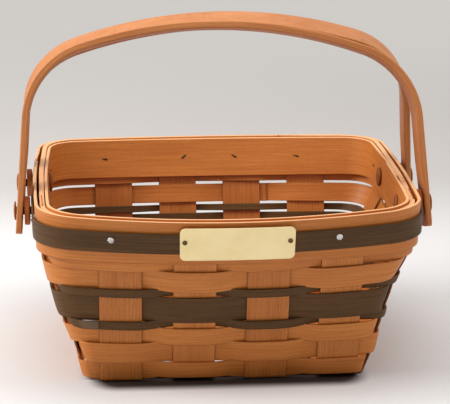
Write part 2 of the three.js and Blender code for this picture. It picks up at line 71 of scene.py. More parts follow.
# What a thickness square to the slanting wall measures on the level
LEVEL = 1 / math.cos(math.atan((RIM_PLAN[0] - FLOOR_PLAN[0]) / (RIM - FLOOR)))
# How far the side walls belly out: shares of BELLY at shares of the height
BELLY = 7.2
BELLY_AT = np.array([0, 0.132, 0.246, 0.388, 0.536, 0.701, 0.817, 1])
BELLY_LEFT = np.array([0.24, 0.32, 0.44, 0.88, 0.97, 1, 0.612, 0])
BELLY_RIGHT = np.array([-0.35, -0.04, -0.04, 0.08, 0.26, 0.92, 0.562, 0])
FOOT_BEND = 1.9
# Rows from the bottom up: shares of the rows' height for the width, the gap below in front and
# the gap below at the back
FIRST_ROW = 3.4
ROWS_H = RIM - FIRST_ROW
ROWS = [
    (0.1167, 0, 0), (0.1167, 0.0029, 0.0067), (0.0967, 0.0029, 0.0067),
    (0.0459, 0.0029, 0.0067), (0.1521, 0.0029, 0.0067), (0.0459, 0.0043, 0.0087),
    (0.1167, 0.0043, 0.0134), (0.1167, 0.0072, 0.0134), (0.1722, 0.0029, 0.0029),
]
DARK_ROWS = (4, 5, 6)
NARROW_ROWS = (4, 6)
# Rim bands and dark strip: thicknesses, and their faces' offsets from the uprights' middle. How
# far below the rim the nails lie. The plate's sizes, and its shift to the right
BAND, TRIM, SEAM = 1.9, 1.2, 0.3
BAND_IN = 2.4
BAND_OUT = BAND_IN + BAND
TRIM_IN = BAND_OUT + 0.5
TRIM_OUT = TRIM_IN + TRIM
NAIL_DROP = 12.2
PLATE_W, PLATE_H, PLATE_T, PLATE_CORNER, PLATE_SHIFT = 66.0, 21.6, 0.7, 3.2, 2.2
# Pivots and handles
PIVOT_Y, PIVOT_Z = 36.5, 97.0
WASHER_R, PEG_R, PEG_HEAD_R, CAP_R = 8.8, 2.5, 5.8, 6.1
WASHER_OUT = max(abs(corner[0]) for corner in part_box("handle_washer_front_left")) / MM
RISE, TAIL, HANDLE_T, ARM_T, HANDLE_W = 113.9, 14.0, 4.3, 3.7, 20.0
TIP_R, HANDLE_EDGE = 4.0, 0.8
ARM_SHARE, SHOULDER_R, CREST_R, CREST_SHIFT = 0.07, 51.0, 275.0, 4.2
HALF = WASHER_OUT + SEAM + ARM_SHARE * WASHER_R + ARM_T / math.cos(math.atan(ARM_SHARE))
PEG_FACE = HALF + ARM_SHARE * PEG_HEAD_R + SEAM


# A quarter of the wall's plan: radius and centre of the front's, the side's and the corner's arc,
# and the normal's angles where the front's ends and the side's starts
Quarter = namedtuple(
    "Quarter", "front_r front_y side_r side_x corner_r corner_x corner_y front_end side_start")


def belly_at(shares, height):
    """Share of the belly at a share of the height, straight between its table's places and on
    beyond its ends."""
    k = np.searchsorted(BELLY_AT[1:-1], height, side="right")
    part = (height - BELLY_AT[k]) / (BELLY_AT[k + 1] - BELLY_AT[k])
    return shares[k] + (shares[k + 1] - shares[k]) * part


def plan(z, right, rise_share):
    """Quarter of the wall's plan at height z: three arcs, each tangent to the next. Sizes run
    straight from the floor's to the rim's. A wall's radius is its half length squared over twice
    the bow. The corner's centre is where the walls' circles, less its radius, cross. The side
    walls belly out by a table over the height, which rises with the rows."""
    share = (z - FLOOR) / (RIM - FLOOR)
    sizes = [a + (b - a) * share for a, b in zip(FLOOR_PLAN, RIM_PLAN)]
    half_w, half_d, corner_r, bow_front, bow_side = sizes
    height = (z * (1 - rise_share) - FLOOR) / (RIM - FLOOR)
    belly = np.where(right < 0, belly_at(BELLY_LEFT, height), belly_at(BELLY_RIGHT, height))
    half_w = half_w + BELLY * belly
    front_r, side_r = half_w ** 2 / (2 * bow_front), half_d ** 2 / (2 * bow_side)
    front_y, side_x = half_d - front_r, half_w - side_r
    apart = np.hypot(side_x, front_y)
    along = ((front_r - corner_r) ** 2 - (side_r - corner_r) ** 2 + apart ** 2) / (2 * apart)
    off = np.sqrt((front_r - corner_r) ** 2 - along ** 2)
    way_x, way_y = side_x / apart, -front_y / apart
    corner_x = way_x * along + way_y * off
    corner_y = front_y + way_y * along - way_x * off
    front_end = np.arctan2(corner_x, corner_y - front_y)
    side_start = np.arctan2(corner_x - side_x, corner_y)
    return Quarter(
        front_r, front_y, side_r, side_x, corner_r, corner_x, corner_y, front_end, side_start)


def angle_x(p, x):
    """Normal's angle at x on the front or back arc, or on the corner beyond it: the arcsine of
    x, counted from the arc's centre, over its radius."""
    a = np.arcsin(x / p.front_r)
    corner = np.arcsin(np.clip((x - p.corner_x) / p.corner_r, -1, 1))
    return np.where(a <= p.front_end, a, corner)


def angle_y(p, y):
    """Normal's angle at y on a side arc, or on the corner beyond it: the arccosine of y, counted
    from the arc's centre, over its radius."""
    a = np.arccos(y / p.side_r)
    corner = np.arccos(np.clip((y - p.corner_y) / p.corner_r, -1, 1))
    return np.where(a >= p.side_start, a, corner)


def wall(t, z, off):
    """Point of the wall. t counts the upright ends round it: 0 to 3 in front from the left,
    4 to 7 on the right, 8 to 11 at the back, 12 to 15 on the left. off is square to the wall,
    outwards. The point is the arc's centre plus radius + off * LEVEL times the sine and cosine
    of the normal's angle, which turns evenly between the outermost uprights of two walls."""
    t, z, off = np.broadcast_arrays(np.asarray(t, float) % ROUND, np.asarray(z, float), off)
    side = np.floor((t + 0.5) / ENDS).astype(int) % 4
    is_long = (side == FRONT) | (side == BACK)
    q = (t + 0.5) % ENDS - ENDS / 2
    u = q * np.where(is_long, PITCH_X, PITCH_Y)
    places = [side == FRONT, side == RIGHT, side == BACK]
    right = np.select(places, [np.sign(u), 1, -np.sign(u)], -1)
    back = np.select(places, [-1, np.sign(u), 1], -np.sign(u))
    over = np.maximum(np.abs(q) - MIDDLE - np.where(is_long, EDGE_X, EDGE_Y), 0)
    is_between = over > 0
    part = over / (1 - EDGE_X - EDGE_Y)
    part = np.where(is_long, part, 1 - part)
    reach = np.abs(u)
    share_x = np.where(is_long, reach / RIM_PLAN[0], 1)
    share_x = np.where(is_between, part + (1 - part) * LIMIT_X / RIM_PLAN[0], share_x)
    share_y = np.where(is_long, 1, reach / RIM_PLAN[1])
    share_y = np.where(is_between, 1 - part + part * LIMIT_Y / RIM_PLAN[1], share_y)
    rise = SIDE_LIFT * share_x ** 2 + ROW_RISE * (1 + back * share_y) / 2
    p = plan(z, right, rise / RIM)
    on_long = angle_x(p, np.minimum(reach, LIMIT_X))
    on_side = angle_y(p, np.minimum(reach, LIMIT_Y))
    between = angle_x(p, LIMIT_X) * (1 - part) + angle_y(p, LIMIT_Y) * part
    a = np.where(is_between, between, np.where(is_long, on_long, on_side))
    on_front, on_flank = a < p.front_end, a > p.side_start
    radius = np.where(on_front, p.front_r, np.where(on_flank, p.side_r, p.corner_r)) + off * LEVEL
    x = np.where(on_front, 0, np.where(on_flank, p.side_x, p.corner_x)) + radius * np.sin(a)
    y = np.where(on_front, p.front_y, np.where(on_flank, 0, p.corner_y)) + radius * np.cos(a)
    return np.stack([right * x, back * y, z], -1)


def place_on(side, reach):
    """Place round the basket at a reach along x or y from the middle of one wall."""
    pitch = PITCH_X if side in (FRONT, BACK) else PITCH_Y
    return ENDS * side + MIDDLE + (1 if side in (FRONT, RIGHT) else -1) * reach / pitch


def lifted(t, z, rise=BACK_LIFT):
    """Height of the rim's sweep: z, plus SIDE_LIFT times the square of x's share of the half
    width, in proportion to z, plus a rise that grows straight from the front to the back."""
    at = wall(t, z, 0.0)
    to_side = SIDE_LIFT * (at[..., 0] / RIM_PLAN[0]) ** 2 * z / RIM
    return z + to_side + rise * (1 + at[..., 1] / RIM_PLAN[1]) / 2


def swing(c):
    """Flattened wave: a cosine c drawn towards its crests, (3 c - c cubed) / 2."""
    return c * (1.5 - 0.5 * c * c)


def ramp(value, low, high):
    """Smooth step from 0 at low to 1 at high: 3 x squared - 2 x cubed of the share x between."""
    x = np.clip((value - low) / (high - low), 0, 1)
    return x * x * (3 - 2 * x)


def lengths(points):
    """Running length along a row of points."""
    return np.concatenate([[0], np.cumsum(np.linalg.norm(np.diff(points, axis=0), axis=1))])


# The part of a grain's shift that goes across it, how far the grain slips over a turned piece's
# length, and the distance in metres under which points are one
ACROSS, AXIAL, MERGE = 0.37, 0.6, 1e-6
# Section of a strip: how far behind a rounded edge a supporting line lies, the angles of the
# edge's points in degrees, and a breadth less than any step there
SUPPORT, EDGE_ANGLES, HAIR = 0.5, (30, 60, 90), 0.01


def add(name, data):
    """Object in the scene with the given mesh, lamp or camera."""
    piece = bpy.data.objects.new(name, data)
    bpy.context.scene.collection.objects.link(piece)
    return piece


def new_object(name, points, faces):
    """Object from points in metres."""
    mesh = bpy.data.meshes.new(name)
    mesh.from_pydata(points, [], faces)
    return add(name, mesh)


def mesh_piece(name, points, faces, uvs, tint, cut_and_shading=0.0):
    """Smooth object from points in millimetres, its faces turned outwards by the sign of the
    enclosed volume. uvs is a pair for each corner, in metres. tint is its tone, 0 deep and 1
    light, and the cut-and-shading value, for all points or each, goes from -1, the pores'
    colour, here also laid on edges as painted shade, to 1, a cut's colour, here also laid on
    upper edges as a painted highlight."""
    piece = new_object(name, (points * MM).tolist(), faces)
    mesh = piece.data
    mesh.uv_layers.new(name="grain").data.foreach_set("uv", np.asarray(uvs, np.float32).ravel())
    for label, value in (("tint", tint), ("cut_and_shading", cut_and_shading)):
        layer = mesh.attributes.new(label, "FLOAT", "POINT")
        values = np.broadcast_to(np.asarray(value, np.float32), len(points))
        layer.data.foreach_set("value", values.copy())
    mesh.polygons.foreach_set("use_smooth", np.ones(len(mesh.polygons), bool))
    mesh.update()
    mesh.calc_loop_triangles()
    tri = np.empty(len(mesh.loop_triangles) * 3, np.int32)
    mesh.loop_triangles.foreach_get("vertices", tri)
    a, b, c = points[tri.reshape(-1, 3)].transpose(1, 0, 2)
    if np.einsum("ij,ij->i", a, np.cross(b, c)).sum() < 0:
        mesh.flip_normals()
    return piece


def grid_piece(name, grid, along, around, tint=0.5, shift=0.0, cut_and_shading=0.0):
    """Grid of sections (sections, points round, 3) joined into a skin that is closed at both
    ends. along and around are the lengths in millimetres that the grain's coordinates take,
    shift moves them."""
    n, m = grid.shape[:2]
    i, j = np.meshgrid(np.arange(n - 1), np.arange(m), indexing="ij")
    i2, j2 = i + 1, (j + 1) % m
    faces = np.stack([i * m + j, i * m + j2, i2 * m + j2, i2 * m + j], -1).reshape(-1, 4).tolist()
    faces += [list(range(m))[::-1], list(range((n - 1) * m, n * m))]
    around = np.append(around, 2 * around[-1] - around[-2])
    u0, u1, v0, v1 = along[i], along[i2], around[j], around[j + 1]
    uv = np.stack([u0, v0, u0, v1, u1, v1, u1, v0], -1).reshape(-1, 2)
    first = np.stack([np.full(m, along[0]), around[:m]], -1)[::-1]
    last = np.stack([np.full(m, along[-1]), around[:m]], -1)
    uv = np.concatenate([uv, first, last]) * MM + [shift, shift * ACROSS]
    cut_and_shading = np.broadcast_to(cut_and_shading, (n, m)).ravel()
    return mesh_piece(name, grid.reshape(-1, 3), faces, uv, tint, cut_and_shading)


def profile(thick, edge, columns):
    """Section of a strip, up its outer face and down its inner one: shares of the width, 0 low
    and 1 high, the reach in millimetres added to them, and the places through the thickness.
    A rounded edge runs edge * (1 - sin b) in and edge * (1 - cos b) deep over its angle b."""
    half = thick / 2
    middle = [(share, 0) for share in np.linspace(0, 1, columns)[1:-1]]
    face = [(0, edge), (0, edge + SUPPORT), *middle, (1, -edge - SUPPORT), (1, -edge)]
    angles = [math.radians(degrees) for degrees in EDGE_ANGLES]
    turn = [(edge * (1 - math.sin(b)), half - edge * (1 - math.cos(b))) for b in angles]
    points = [(share, reach, half) for share, reach in face]
    points += [(1, -reach, place) for reach, place in turn]
    points += [(1, -reach, -place) for reach, place in turn[::-1]]
    points += [(share, reach, -half) for share, reach in face[::-1]]
    points += [(0, reach, -place) for reach, place in turn]
    points += [(0, reach, place) for reach, place in turn[::-1]]
    return np.array(points).T


def is_edge(place, thick):
    """Whether a section's points lie on its rounded edges and not on its faces."""
    return np.abs(place) < thick / 2 - HAIR


def around_section(share, reach, place, width):
    """Running length round a section, for the grain."""
    return lengths(np.stack([share * width + reach, place], -1))


def wall_strip(name, t, low, high, offset, thick, edge=0.3, columns=5, cup=0.0, roll=0.0,
               thin=1.0, cut_and_shading=0.0, edge_tones=(0.0, 0.0), **look):
    """Strip along the wall: the heights of its edges at t, and the offset of its middle. With a
    from -1 to 1 over the width, cup bends it outwards by cup times 1 - a squared, and roll turns
    its top inwards by roll times a. thin scales the thickness, and the edge tones are added to
    the cut-and-shading value on the lower and on the upper edge: below 0 they are painted shade,
    above 0 partly a painted highlight."""
    share, reach, place = profile(thick, edge, columns)
    z = low[:, None] + (high - low)[:, None] * share + reach / LEVEL
    across = 2 * (z - low[:, None]) / (high - low)[:, None] - 1
    thin = np.broadcast_to(thin, len(t))[:, None]
    roll = np.broadcast_to(roll, len(t))[:, None]
    off = offset[:, None] + place * thin + cup * (1 - across ** 2) - roll * across
    grid = wall(t[:, None], z, off)
    around = around_section(share, reach, place, float(np.mean(high - low)) * LEVEL)
    # Painted shade and highlight along the strip's lower and upper edges
    tones = np.where(share == 0, edge_tones[0], np.where(share == 1, edge_tones[1], 0))
    cut_and_shading = np.broadcast_to(cut_and_shading, len(t))[:, None] + is_edge(place, thick) * tones
    return grid_piece(name, grid, lengths(grid[:, 0]), around, cut_and_shading=cut_and_shading, **look)


def turned(name, outline, point, direction, segments=48, tint=0.5, shift=0.0):
    """Turned piece: outline is (radius, place along the axis), closed on the axis or on itself,
    and goes round the axis by the cosine and sine of the angle. The grain runs across the face,
    as in a slice of a plank."""
    outline = np.array(outline, float)
    a = np.linspace(0, 2 * math.pi, segments, endpoint=False)
    axis = np.array(direction, float) / np.linalg.norm(direction)
    side = np.cross([0, 0, 1], axis)
    side /= np.linalg.norm(side)
    ring = np.cos(a)[:, None] * side + np.sin(a)[:, None] * np.cross(axis, side)
    grid = outline[None, :, 0, None] * ring[:, None] + outline[None, :, 1, None] * axis
    grid = grid + np.array(point)
    n, m = grid.shape[:2]
    i, j = np.meshgrid(np.arange(n), np.arange(m - 1), indexing="ij")
    i2 = (i + 1) % n
    faces = np.stack([i * m + j, i * m + j + 1, i2 * m + j + 1, i2 * m + j], -1).reshape(-1, 4)
    flat = np.stack([np.cos(a)[:, None] * outline[:, 0], np.sin(a)[:, None] * outline[:, 0]], -1)
    flat[..., 0] += outline[:, 1] * AXIAL
    uv = flat.reshape(-1, 2)[faces].reshape(-1, 2) * MM + [shift, shift * ACROSS]
    piece = mesh_piece(name, grid.reshape(-1, 3), faces.tolist(), uv, tint)
    body = bmesh.new()
    body.from_mesh(piece.data)
    bmesh.ops.remove_doubles(body, verts=body.verts, dist=MERGE)
    body.to_mesh(piece.data)
    body.free()
    return piece


def srgb(*rgb):
    """Linear colour from the three numbers of a screen colour, 0 to 255."""
    linear = [((v / 255 + 0.055) / 1.055) ** 2.4 if v > 10 else v / 255 / 12.92 for v in rgb]
    return (*linear, 1.0)


class Nodes:
    """Node tree of a material or world. A number is set in a socket, a socket linked to it."""

    def __init__(self, owner):
        owner.use_nodes = True
        self.owner, self.tree = owner, owner.node_tree
        self.shader = self.tree.nodes.get("Principled BSDF")

    def put(self, node, sockets, result):
        for key, value in sockets.items():
            if isinstance(value, bpy.types.NodeSocket):
                self.tree.links.new(value, node.inputs[key])
            else:
                node.inputs[key].default_value = value
        return None if result is None else node.outputs[result]

    def new(self, kind, **values):
        node = self.tree.nodes.new("ShaderNode" + kind)
        for key, value in values.items():
            setattr(node, key, value)
        return node

    def grain(self):
        return self.new("UVMap", uv_map="grain").outputs["UV"]

    def place(self):
        return self.new("TexCoord").outputs["Object"]

    def attribute(self, name):
        return self.new("Attribute", attribute_name=name).outputs["Fac"]

    def noise(self, source, scale, detail=3.0, rough=0.55, distortion=0.0):
        mapping = self.new("Mapping")
        stretched = self.put(mapping, {"Vector": source, "Scale": scale}, "Vector")
        values = {"Vector": stretched, "Scale": 1.0, "Detail": detail, "Roughness": rough,
                  "Distortion": distortion}
        return self.put(self.new("TexNoise"), values, "Fac")

    def band(self, value, low, high, to_low=0.0, to_high=1.0, kind="LINEAR"):
        values = {"Value": value, "From Min": low, "From Max": high, "To Min": to_low,
                  "To Max": to_high}
        return self.put(self.new("MapRange", interpolation_type=kind), values, "Result")

    def mix(self, factor, a, b):
        node = self.new("Mix", data_type="RGBA")
        return self.put(node, {0: factor, 6: a, 7: b}, 2)

    def math(self, kind, a, b, c=0.0):
        return self.put(self.new("Math", operation=kind), {0: a, 1: b, 2: c}, 0)

    def vector(self, kind, a, b=(0, 0, 0), result="Vector"):
        return self.put(self.new("VectorMath", operation=kind), {0: a, 1: b}, result)

    def split(self, vector):
        node = self.new("SeparateXYZ")
        self.put(node, {0: vector}, None)
        return node.outputs

    def relief(self, height, strength, distance):
        values = {"Height": height, "Strength": strength, "Distance": distance}
        return self.put(self.new("Bump"), values, "Normal")

    def surface(self, **sockets):
        named = {key.replace("_", " "): value for key, value in sockets.items()}
        self.put(self.shader, named, None)
        return self.owner

    def seen(self):
        """1 where the backdrop is seen, straight or in a shiny or clear surface, and 0 where it
        lights the object."""
        path = self.new("LightPath").outputs
        shiny = self.math("MAXIMUM", path["Is Glossy Ray"], path["Is Transmission Ray"])
        return self.math("MAXIMUM", path["Is Camera Ray"], shiny)


# Patterns of the wood, in waves to the metre along and across the grain, which of their values
# count for the tone and the gloss, the parts that they and the piece's own tint have in its tone,
# and the depths of the pores and, in metres, of the relief
SLOW_WAVES, LINE_WAVES = (7, 70, 1), (22, 900)
FINE_WAVES, DASH_WAVES = (90, 3200, 1), (230, 2600, 1)
SLOW_BAND, LINE_BAND, FINE_BAND, DASH_BAND = (0.3, 0.7), (0.38, 0.62), (0.48, 0.72), (0.6, 0.74)
GLOSS_BAND = (0.3, 0.7)
SLOW_PART, LINE_PART, TINT_PART, FINE_PART = 0.34, 0.46, 0.32, 0.38
PORE_DEPTH, RELIEF = 0.4, 0.0004
# Colours of cut pale and dark wood. The pale one is also laid on upward edges, partly as a painted
# highlight where they face the light
CUT_AND_HIGHLIGHT, DARK_CUT = srgb(232, 176, 124), srgb(122, 98, 78)


def wood(name, light, deep, pore_and_shade, rough=(0.42, 0.56), bump=0.2, streak=1.0, dashes=0.5,
         gloss=0.35, cut_and_highlight=CUT_AND_HIGHLIGHT):
    """Wood: soft streaks, fine lines, dashes and a slow change of tone along the grain's first
    coordinate, and each piece's own tint. The tone mixes deep and light. Dashes take the pores'
    colour, and so do edges where the cut-and-shading value is below 0, as painted shade. Ends and
    edges where it is above 0 take the cut's colour, on edges partly as a painted highlight."""
    n = Nodes(bpy.data.materials.new(name))
    grain = n.grain()
    slow = n.noise(grain, SLOW_WAVES, 2.0)
    line = n.noise(grain, (LINE_WAVES[0] * streak, LINE_WAVES[1] * streak, 1), 4.0, 0.62, 0.3)
    fine = n.noise(grain, FINE_WAVES, 3.0, 0.6)
    dash = n.noise(grain, DASH_WAVES, 2.0, 0.5)
    tone = n.math("MULTIPLY", n.band(slow, *SLOW_BAND), SLOW_PART)
    tone = n.math("ADD", tone, n.math("MULTIPLY", n.attribute("tint"), TINT_PART))
    tone = n.math("ADD", tone, n.math("MULTIPLY", n.band(line, *LINE_BAND), LINE_PART))
    colour = n.mix(tone, deep, light)
    colour = n.mix(n.math("MULTIPLY", n.band(fine, *FINE_BAND), FINE_PART), colour, deep)
    pores = n.math("MULTIPLY", n.band(dash, *DASH_BAND), dashes)
    colour = n.mix(pores, colour, pore_and_shade)
    # Painted light on the edges: below 0 painted shade in the pores' colour, above 0 the cut's
    # colour, partly a painted highlight; the lap ends' real cut takes it too
    cut_and_shading = n.attribute("cut_and_shading")
    colour = n.mix(n.band(cut_and_shading, 0, -1), n.mix(n.band(cut_and_shading, 0, 1), colour, cut_and_highlight), pore_and_shade)
    height = n.math("ADD", n.math("MULTIPLY", line, 0.5), n.math("MULTIPLY", fine, 0.5))
    height = n.math("SUBTRACT", height, n.math("MULTIPLY", pores, PORE_DEPTH))
    return n.surface(
        Base_Color=colour,
        Roughness=n.band(line, *GLOSS_BAND, rough[1], rough[0]),
        Normal=n.relief(height, bump, RELIEF),
        Specular_IOR_Level=gloss,
    )


# Patterns of the metals, in waves to the metre, and which values of the clouds count
CLOUDS, DENTS, SCRATCHES, BRUSHED = (60,) * 3, (1000,) * 3, (900,) * 3, (60, 900, 2500)
CLOUD_BAND, SCRATCH_DEPTH, METAL_BUMP = (0.35, 0.7), 0.1, 0.8


def metal(name, light, dark, rough, scratch=SCRATCHES, hammered=0.0, sheen=1.0):
    """Metal with fine scratches, a slight tarnish and, where hammered, dents."""
    n = Nodes(bpy.data.materials.new(name))
    place = n.place()
    cloud = n.noise(place, CLOUDS, 4.0)
    fine = n.noise(place, scratch, 3.0)
    dents = n.math("MULTIPLY", n.noise(place, DENTS, 1.0), hammered)
    height = n.math("ADD", n.math("MULTIPLY", fine, SCRATCH_DEPTH), dents)
    return n.surface(
        Base_Color=n.mix(n.band(cloud, *CLOUD_BAND), light, dark),
        Roughness=n.band(fine, *GLOSS_BAND, *rough),
        Normal=n.relief(height, METAL_BUMP, RELIEF),
        Metallic=sheen,
    )


pale = wood("pale_splint", srgb(211, 132, 59), srgb(175, 97, 35), srgb(108, 55, 20), dashes=0.42)
ribbed = wood(
    "pale_splint_dashed", srgb(205, 127, 57), srgb(167, 92, 34), srgb(106, 54, 20), dashes=0.6)
dark = wood(
    "dark_splint", srgb(99, 68, 35), srgb(67, 45, 22), srgb(36, 24, 13), rough=(0.48, 0.62),
    gloss=0.2, cut_and_highlight=DARK_CUT)
bent = wood(
    "handle_wood", srgb(206, 136, 82), srgb(166, 96, 48), srgb(108, 56, 26), rough=(0.4, 0.55),
    bump=0.12, streak=0.8, dashes=0.35, gloss=0.25)
block = wood(
    "washer_wood", srgb(204, 114, 54), srgb(158, 82, 36), srgb(92, 46, 20), rough=(0.5, 0.65),
    gloss=0.2)
knob = wood(
    "peg_wood", srgb(164, 96, 54), srgb(116, 62, 34), srgb(62, 32, 16), rough=(0.45, 0.6),
    gloss=0.2)
steel = metal("nail_steel", srgb(232, 230, 228), srgb(120, 116, 112), (0.2, 0.35), hammered=4.0)
brass = metal(
    "plate_brass", srgb(246, 228, 176), srgb(238, 216, 158), (0.34, 0.46), BRUSHED, sheen=0.5)
dull = metal("nail_point", srgb(84, 66, 50), srgb(48, 38, 30), (0.5, 0.65), hammered=0.5)
tack = metal("plate_nail_brass", srgb(128, 106, 74), srgb(70, 54, 38), (0.25, 0.45), hammered=0.5)


def finish(piece, material, node=None, body="basket"):
    """Gives a piece its material and body, and hides the node that it stands for."""
    piece.data.materials.append(material)
    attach(piece, body)
    if node:
        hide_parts(node)


# Heights of the rows in front, and how much further up they lie at the back
row_low, row_lag, row_rise = [], [], []
front_z = back_z = FIRST_ROW
for width, gap_front, gap_back in ROWS:
    front_z += gap_front * ROWS_H
    back_z += gap_back * ROWS_H
    row_low.append(front_z)
    row_lag.append(back_z - front_z)
    row_rise.append(width * ROWS_H / LEVEL)
    front_z += row_rise[-1]
    back_z += row_rise[-1]

# Sections of a strip to an upright end. Laps of the woven strips' ends: length, the taper beside
# them, how far the ends stand off and how much they thin, in splints, and the paler cut's length
SECTIONS, LAP, LAP_TAPER = 24, 1.7, 0.5
LAP_OFF, LAP_THIN = 0.34, 0.52
CUT_LONG, CUT_RAMP = 0.1, 0.09
# For each row: where its strip starts, its tone, and how far its lower and upper edge sag where
# it passes outside
LAP_START = [13.2, 6.6, 10.7, 14.0, 5.4, 13.6, 8.6, 9.3, 8.4]
ROW_TINTS = [0.4, 0.6, 0.75, 0.6, 0.8, 0.75, 0.65, 0.5, 0.5]
SAG_LOW = [0.5, 2.1, 2.6, 2.3, 2, 1.4, 2.6, 1.9, 0]
SAG_HIGH = [1.7, 2, 2.2, 2.6, 1.9, 1.8, 2.2, 1.5, 0]
# The part of the sags that shows at the back. How far the strips spread over their rows' gaps,
# how much further the broad ones reach down and up inside in front, behind their neighbours,
# and how far the lowest one stays below its gap
SAG_BACK = 0.3
SPREAD_FRONT, SPREAD_BACK = 0.6, -0.25
REACH_LOW, REACH_HIGH, LOWEST_DROP = 1.9, 0.6, 0.8
# Where the strips turn in before a corner's side upright, how far to each side and by how much
PINCH_AT, PINCH_REACH, PINCH = (3.64, 15.36), 0.3, 1.4
# How far the strips swing out and in. The top one, between the bands, lies further in
WEAVE, TOP_WEAVE, TOP_IN = 1.6, 0.12, 0.5
NARROW_T, TOP_T = 1.35, 3.0
NARROW_EDGE, BROAD_EDGE = 0.45, 0.3
CUP, ROLL = 0.15, 0.22
# Tones of the lower and upper edges, as the cut-and-shading value counts them: painted shade
# below 0, and on the top strip's upper edge the cut's colour, partly a painted highlight. The
# grain's shift from row to row
EDGE_SHADING, TOP_EDGE_CUT_AND_HIGHLIGHT = (-0.9, -0.2), (0, 0.9)
ROW_SHIFT = 0.13


def lapped(start, lap, taper):
    """Places of a strip that goes once round and on over its start, how far each is from there,
    and how much it lies under and over itself: 1 in the lap, straight down to 0 beside it."""
    length = ROUND + lap
    t = start + np.linspace(0, length, int(length * SECTIONS))
    gone = t - start
    under = np.clip((lap + taper - gone) / taper, 0, 1)
    over = np.clip((gone - ROUND + taper) / taper, 0, 1)
    return t, gone, under, over


def pinch(t):
    """1 at the places of PINCH_AT and down to 0 at PINCH_REACH: (1 - n squared) squared."""
    half = ROUND / 2
    near = [np.abs((t - place + half) % ROUND - half) / PINCH_REACH for place in PINCH_AT]
    return sum((1 - np.clip(n, 0, 1) ** 2) ** 2 for n in near)


def weaver(row):
    """One strip round the basket, out past one upright and in past the next: its offset goes
    with the beat, a flattened cosine, 1 outside and -1 inside. The edges sag by (1 + beat) / 2
    outside and reach on by the root of -beat inside, most in front, by (1 + cosine) / 2 of the
    way round. Its ends are thinned and lie on each other."""
    k = row - 1
    is_narrow, is_top, is_dark = row in NARROW_ROWS, row == len(ROWS), row in DARK_ROWS
    t, gone, under, over = lapped(LAP_START[k], LAP, LAP_TAPER)
    beat = swing(np.cos(np.pi * (t + row)))
    inwards = np.maximum(-beat, 0) ** 0.5
    in_front = 0.5 + 0.5 * np.cos(2 * np.pi * (t - MIDDLE) / ROUND)
    offset = TOP_WEAVE * beat - TOP_IN if is_top else WEAVE * beat - PINCH * inwards * pinch(t)
    sag = (0.5 + 0.5 * beat) * (SAG_BACK + (1 - SAG_BACK) * in_front)
    spread = 0 if is_top else SPREAD_BACK + (SPREAD_FRONT - SPREAD_BACK) * in_front
    reach = 0 if is_narrow or is_top else in_front * inwards
    low = lifted(t, row_low[k], row_lag[k]) - SAG_LOW[k] * sag - spread - REACH_LOW * reach
    high = lifted(t, row_low[k] + row_rise[k], row_lag[k]) - SAG_HIGH[k] * sag
    high = high + (-LOWEST_DROP if row == 1 else spread + REACH_HIGH * reach)
    piece = wall_strip(
        f"woven_strip_{row}", t, low, high, offset + LAP_OFF * SPLINT * (over - under),
        thick=TOP_T if is_top else NARROW_T if is_narrow else SPLINT,
        edge=NARROW_EDGE if is_narrow else BROAD_EDGE,
        cup=0.0 if is_top else CUP, roll=0.0 if is_top else ROLL * beat,
        thin=1 - LAP_THIN * np.maximum(under, over),
        cut_and_shading=np.clip((gone - ROUND - LAP + CUT_LONG) / CUT_RAMP, 0, 1),
        edge_tones=TOP_EDGE_CUT_AND_HIGHLIGHT if is_top else EDGE_SHADING,
        tint=ROW_TINTS[k], shift=ROW_SHIFT * row,
    )
    node = "top_weaver" if is_top else f"weaver_row_{row}"
    material, slot = (dark, "dark_splint") if is_dark else (pale, "pale_splint")
    finish(piece, material, node)


for row in range(1, len(ROWS) + 1):
    weaver(row)


# Uprights: rounded edge, columns, the painted shade on their side edges, each one's tint, and
# the grain's shift from one to the next and for those that run side to side
UPRIGHT_EDGE, UPRIGHT_COLUMNS, UPRIGHT_EDGE_SHADE = 0.28, 7, -0.8
# Tones differ from upright to upright; the second and fourth lengthwise ones are painted lighter
# to offset the shade where they lie behind the weavers
LONG_TINTS, CROSS_TINTS = (0.35, 1.1, 0.35, 1.1), (0.55, 0.45, 0.65, 0.5)
UPRIGHT_SHIFT, CROSS_SHIFT = 0.21, 1.3
# How far below the rim they end, from where to where below their top they thin, and by how much
TOP_DROP, THIN_FROM, THIN_TO, TOP_THIN = 0.9, 2, 14, 0.5
# How far they give way to the weavers, and from which height over which stretch
GIVE, GIVE_FROM, GIVE_OVER = 0.24, 6, 8
# How much less or more of the rows' lag the front and back ones see than those at the sides
LAG_PART = 0.9
# How far they go up and down on the bottom, where that wave turns flat, and the steps of the
# mesh from the wall to the fold and from there to the bottom
CROSS, FLAT, FOLD_GAP, FLOOR_GAP = 0.75, 0.6, 0.4, 0.3
WALL_STEPS, FOLD_STEPS, FLOOR_STEPS = 70, 7, 120


